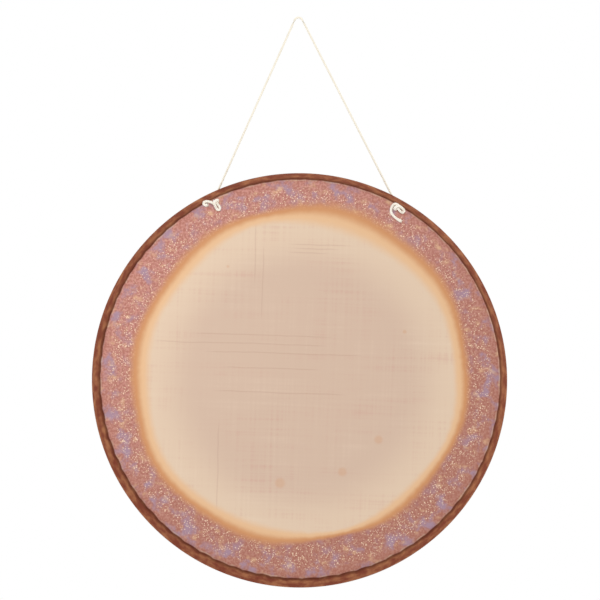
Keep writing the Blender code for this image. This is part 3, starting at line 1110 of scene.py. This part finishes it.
def build_floor(settings):
    mesh = bpy.data.meshes.new("floor")
    form = bmesh.new()
    bmesh.ops.create_grid(
        form,
        x_segments=1,
        y_segments=1,
        size=FLOOR_SIZE,
        matrix=Matrix.Translation((0.0, 0.0, -settings.floor_drop)),
    )
    form.to_mesh(mesh)
    form.free()
    floor = link_object("floor", mesh)
    material, tree, shader = new_material("pale floor", 0.9, 0.0)
    shader.inputs["Base Color"].default_value = (*settings.floor_colour, 1.0)
    mesh.materials.append(material)


def build_world(scene):
    """White behind and in reflections, a little stronger as light on matte surfaces."""
    world = bpy.data.worlds.new("white room")
    world.use_nodes = True
    tree = world.node_tree
    tree.nodes.clear()
    rays = add_node(tree, "ShaderNodeLightPath")
    seen = calculate(tree, "MAXIMUM", rays.outputs["Is Camera Ray"], rays.outputs["Is Glossy Ray"])
    seen = calculate(tree, "MAXIMUM", seen, rays.outputs["Is Transmission Ray"])
    difference = SEEN_STRENGTH - LIGHT_STRENGTH
    strength = calculate(tree, "MULTIPLY_ADD", seen, difference, LIGHT_STRENGTH)
    inputs = {"Color": (1.0, 1.0, 1.0, 1.0), "Strength": strength}
    light = add_node(tree, "ShaderNodeBackground", inputs)
    output = add_node(tree, "ShaderNodeOutputWorld", {"Surface": light.outputs[0]})
    output.is_active_output = True
    scene.world = world


def build_lamps():
    for name, place, size, power in LAMPS:
        lamp = bpy.data.lights.new(name, "AREA")
        lamp.size = size
        lamp.energy = power
        thing = link_object(name, lamp)
        thing.location = place
        thing.rotation_euler = (LAMP_AIM - place).to_track_quat("-Z", "Y").to_euler()


def build_camera(scene):
    """Long lens a little below and left of the gong, framed as the photograph is."""
    camera = bpy.data.cameras.new("camera")
    camera.sensor_width = SENSOR_WIDTH
    camera.lens = SENSOR_WIDTH * CAMERA_DISTANCE / (PHOTO_SIZE * METRES_PER_PIXEL)
    camera.clip_end = CLIP_END
    view = Vector((
        -math.sin(CAMERA_SIDE) * math.cos(CAMERA_RISE),
        math.cos(CAMERA_SIDE) * math.cos(CAMERA_RISE),
        -math.sin(CAMERA_RISE),
    ))
    right = view.cross(Vector((0.0, 0.0, 1.0))).normalized()
    up = right.cross(view)
    rim_centre = gong_placement() @ Vector((0.0, RIM_DEPTH, 0.0))
    to_right = (PHOTO_SIZE / 2 - RIM_CENTRE_PIXEL[0]) * METRES_PER_PIXEL
    upwards = (RIM_CENTRE_PIXEL[1] - PHOTO_SIZE / 2) * METRES_PER_PIXEL
    target = rim_centre + right * to_right + up * upwards
    thing = link_object("camera", camera)
    thing.location = target - view * CAMERA_DISTANCE
    thing.rotation_euler = view.to_track_quat("-Z", "Y").to_euler()
    scene.camera = thing


class TAMGONG_PT_sidebar(bpy.types.Panel):
    """Settings and build steps of the tam gong"""

    bl_idname = "TAMGONG_PT_sidebar"
    bl_label = "Tam Gong"
    bl_space_type = "VIEW_3D"
    bl_region_type = "UI"
    bl_category = "Tam Gong"

    def draw(self, context):
        scene = context.scene
        groups = (
            (scene.tam_gong_disc, TAMGONG_OT_disc),
            (scene.tam_gong_cord, TAMGONG_OT_cord),
            (scene.tam_gong_stage, TAMGONG_OT_stage),
        )
        for settings, operator in groups:
            box = self.layout.box()
            for name in settings.__annotations__:
                box.prop(settings, name)
            box.operator(operator.bl_idname)


CLASSES = (
    TamGongDiscSettings,
    TamGongCordSettings,
    TamGongStageSettings,
    TAMGONG_OT_disc,
    TAMGONG_OT_cord,
    TAMGONG_OT_stage,
    TAMGONG_PT_sidebar,
)


def register():
    for kind in CLASSES:
        bpy.utils.register_class(kind)
    bpy.types.Scene.tam_gong_disc = PointerProperty(type=TamGongDiscSettings)
    bpy.types.Scene.tam_gong_cord = PointerProperty(type=TamGongCordSettings)
    bpy.types.Scene.tam_gong_stage = PointerProperty(type=TamGongStageSettings)


def unregister():
    del bpy.types.Scene.tam_gong_stage
    del bpy.types.Scene.tam_gong_cord
    del bpy.types.Scene.tam_gong_disc
    for kind in reversed(CLASSES):
        bpy.utils.unregister_class(kind)


def main():
    register()
    bpy.ops.tam_gong.build_stage()
    bpy.ops.tam_gong.build_cord()
    bpy.ops.tam_gong.build_disc()


if __name__ == "__main__":
    main()
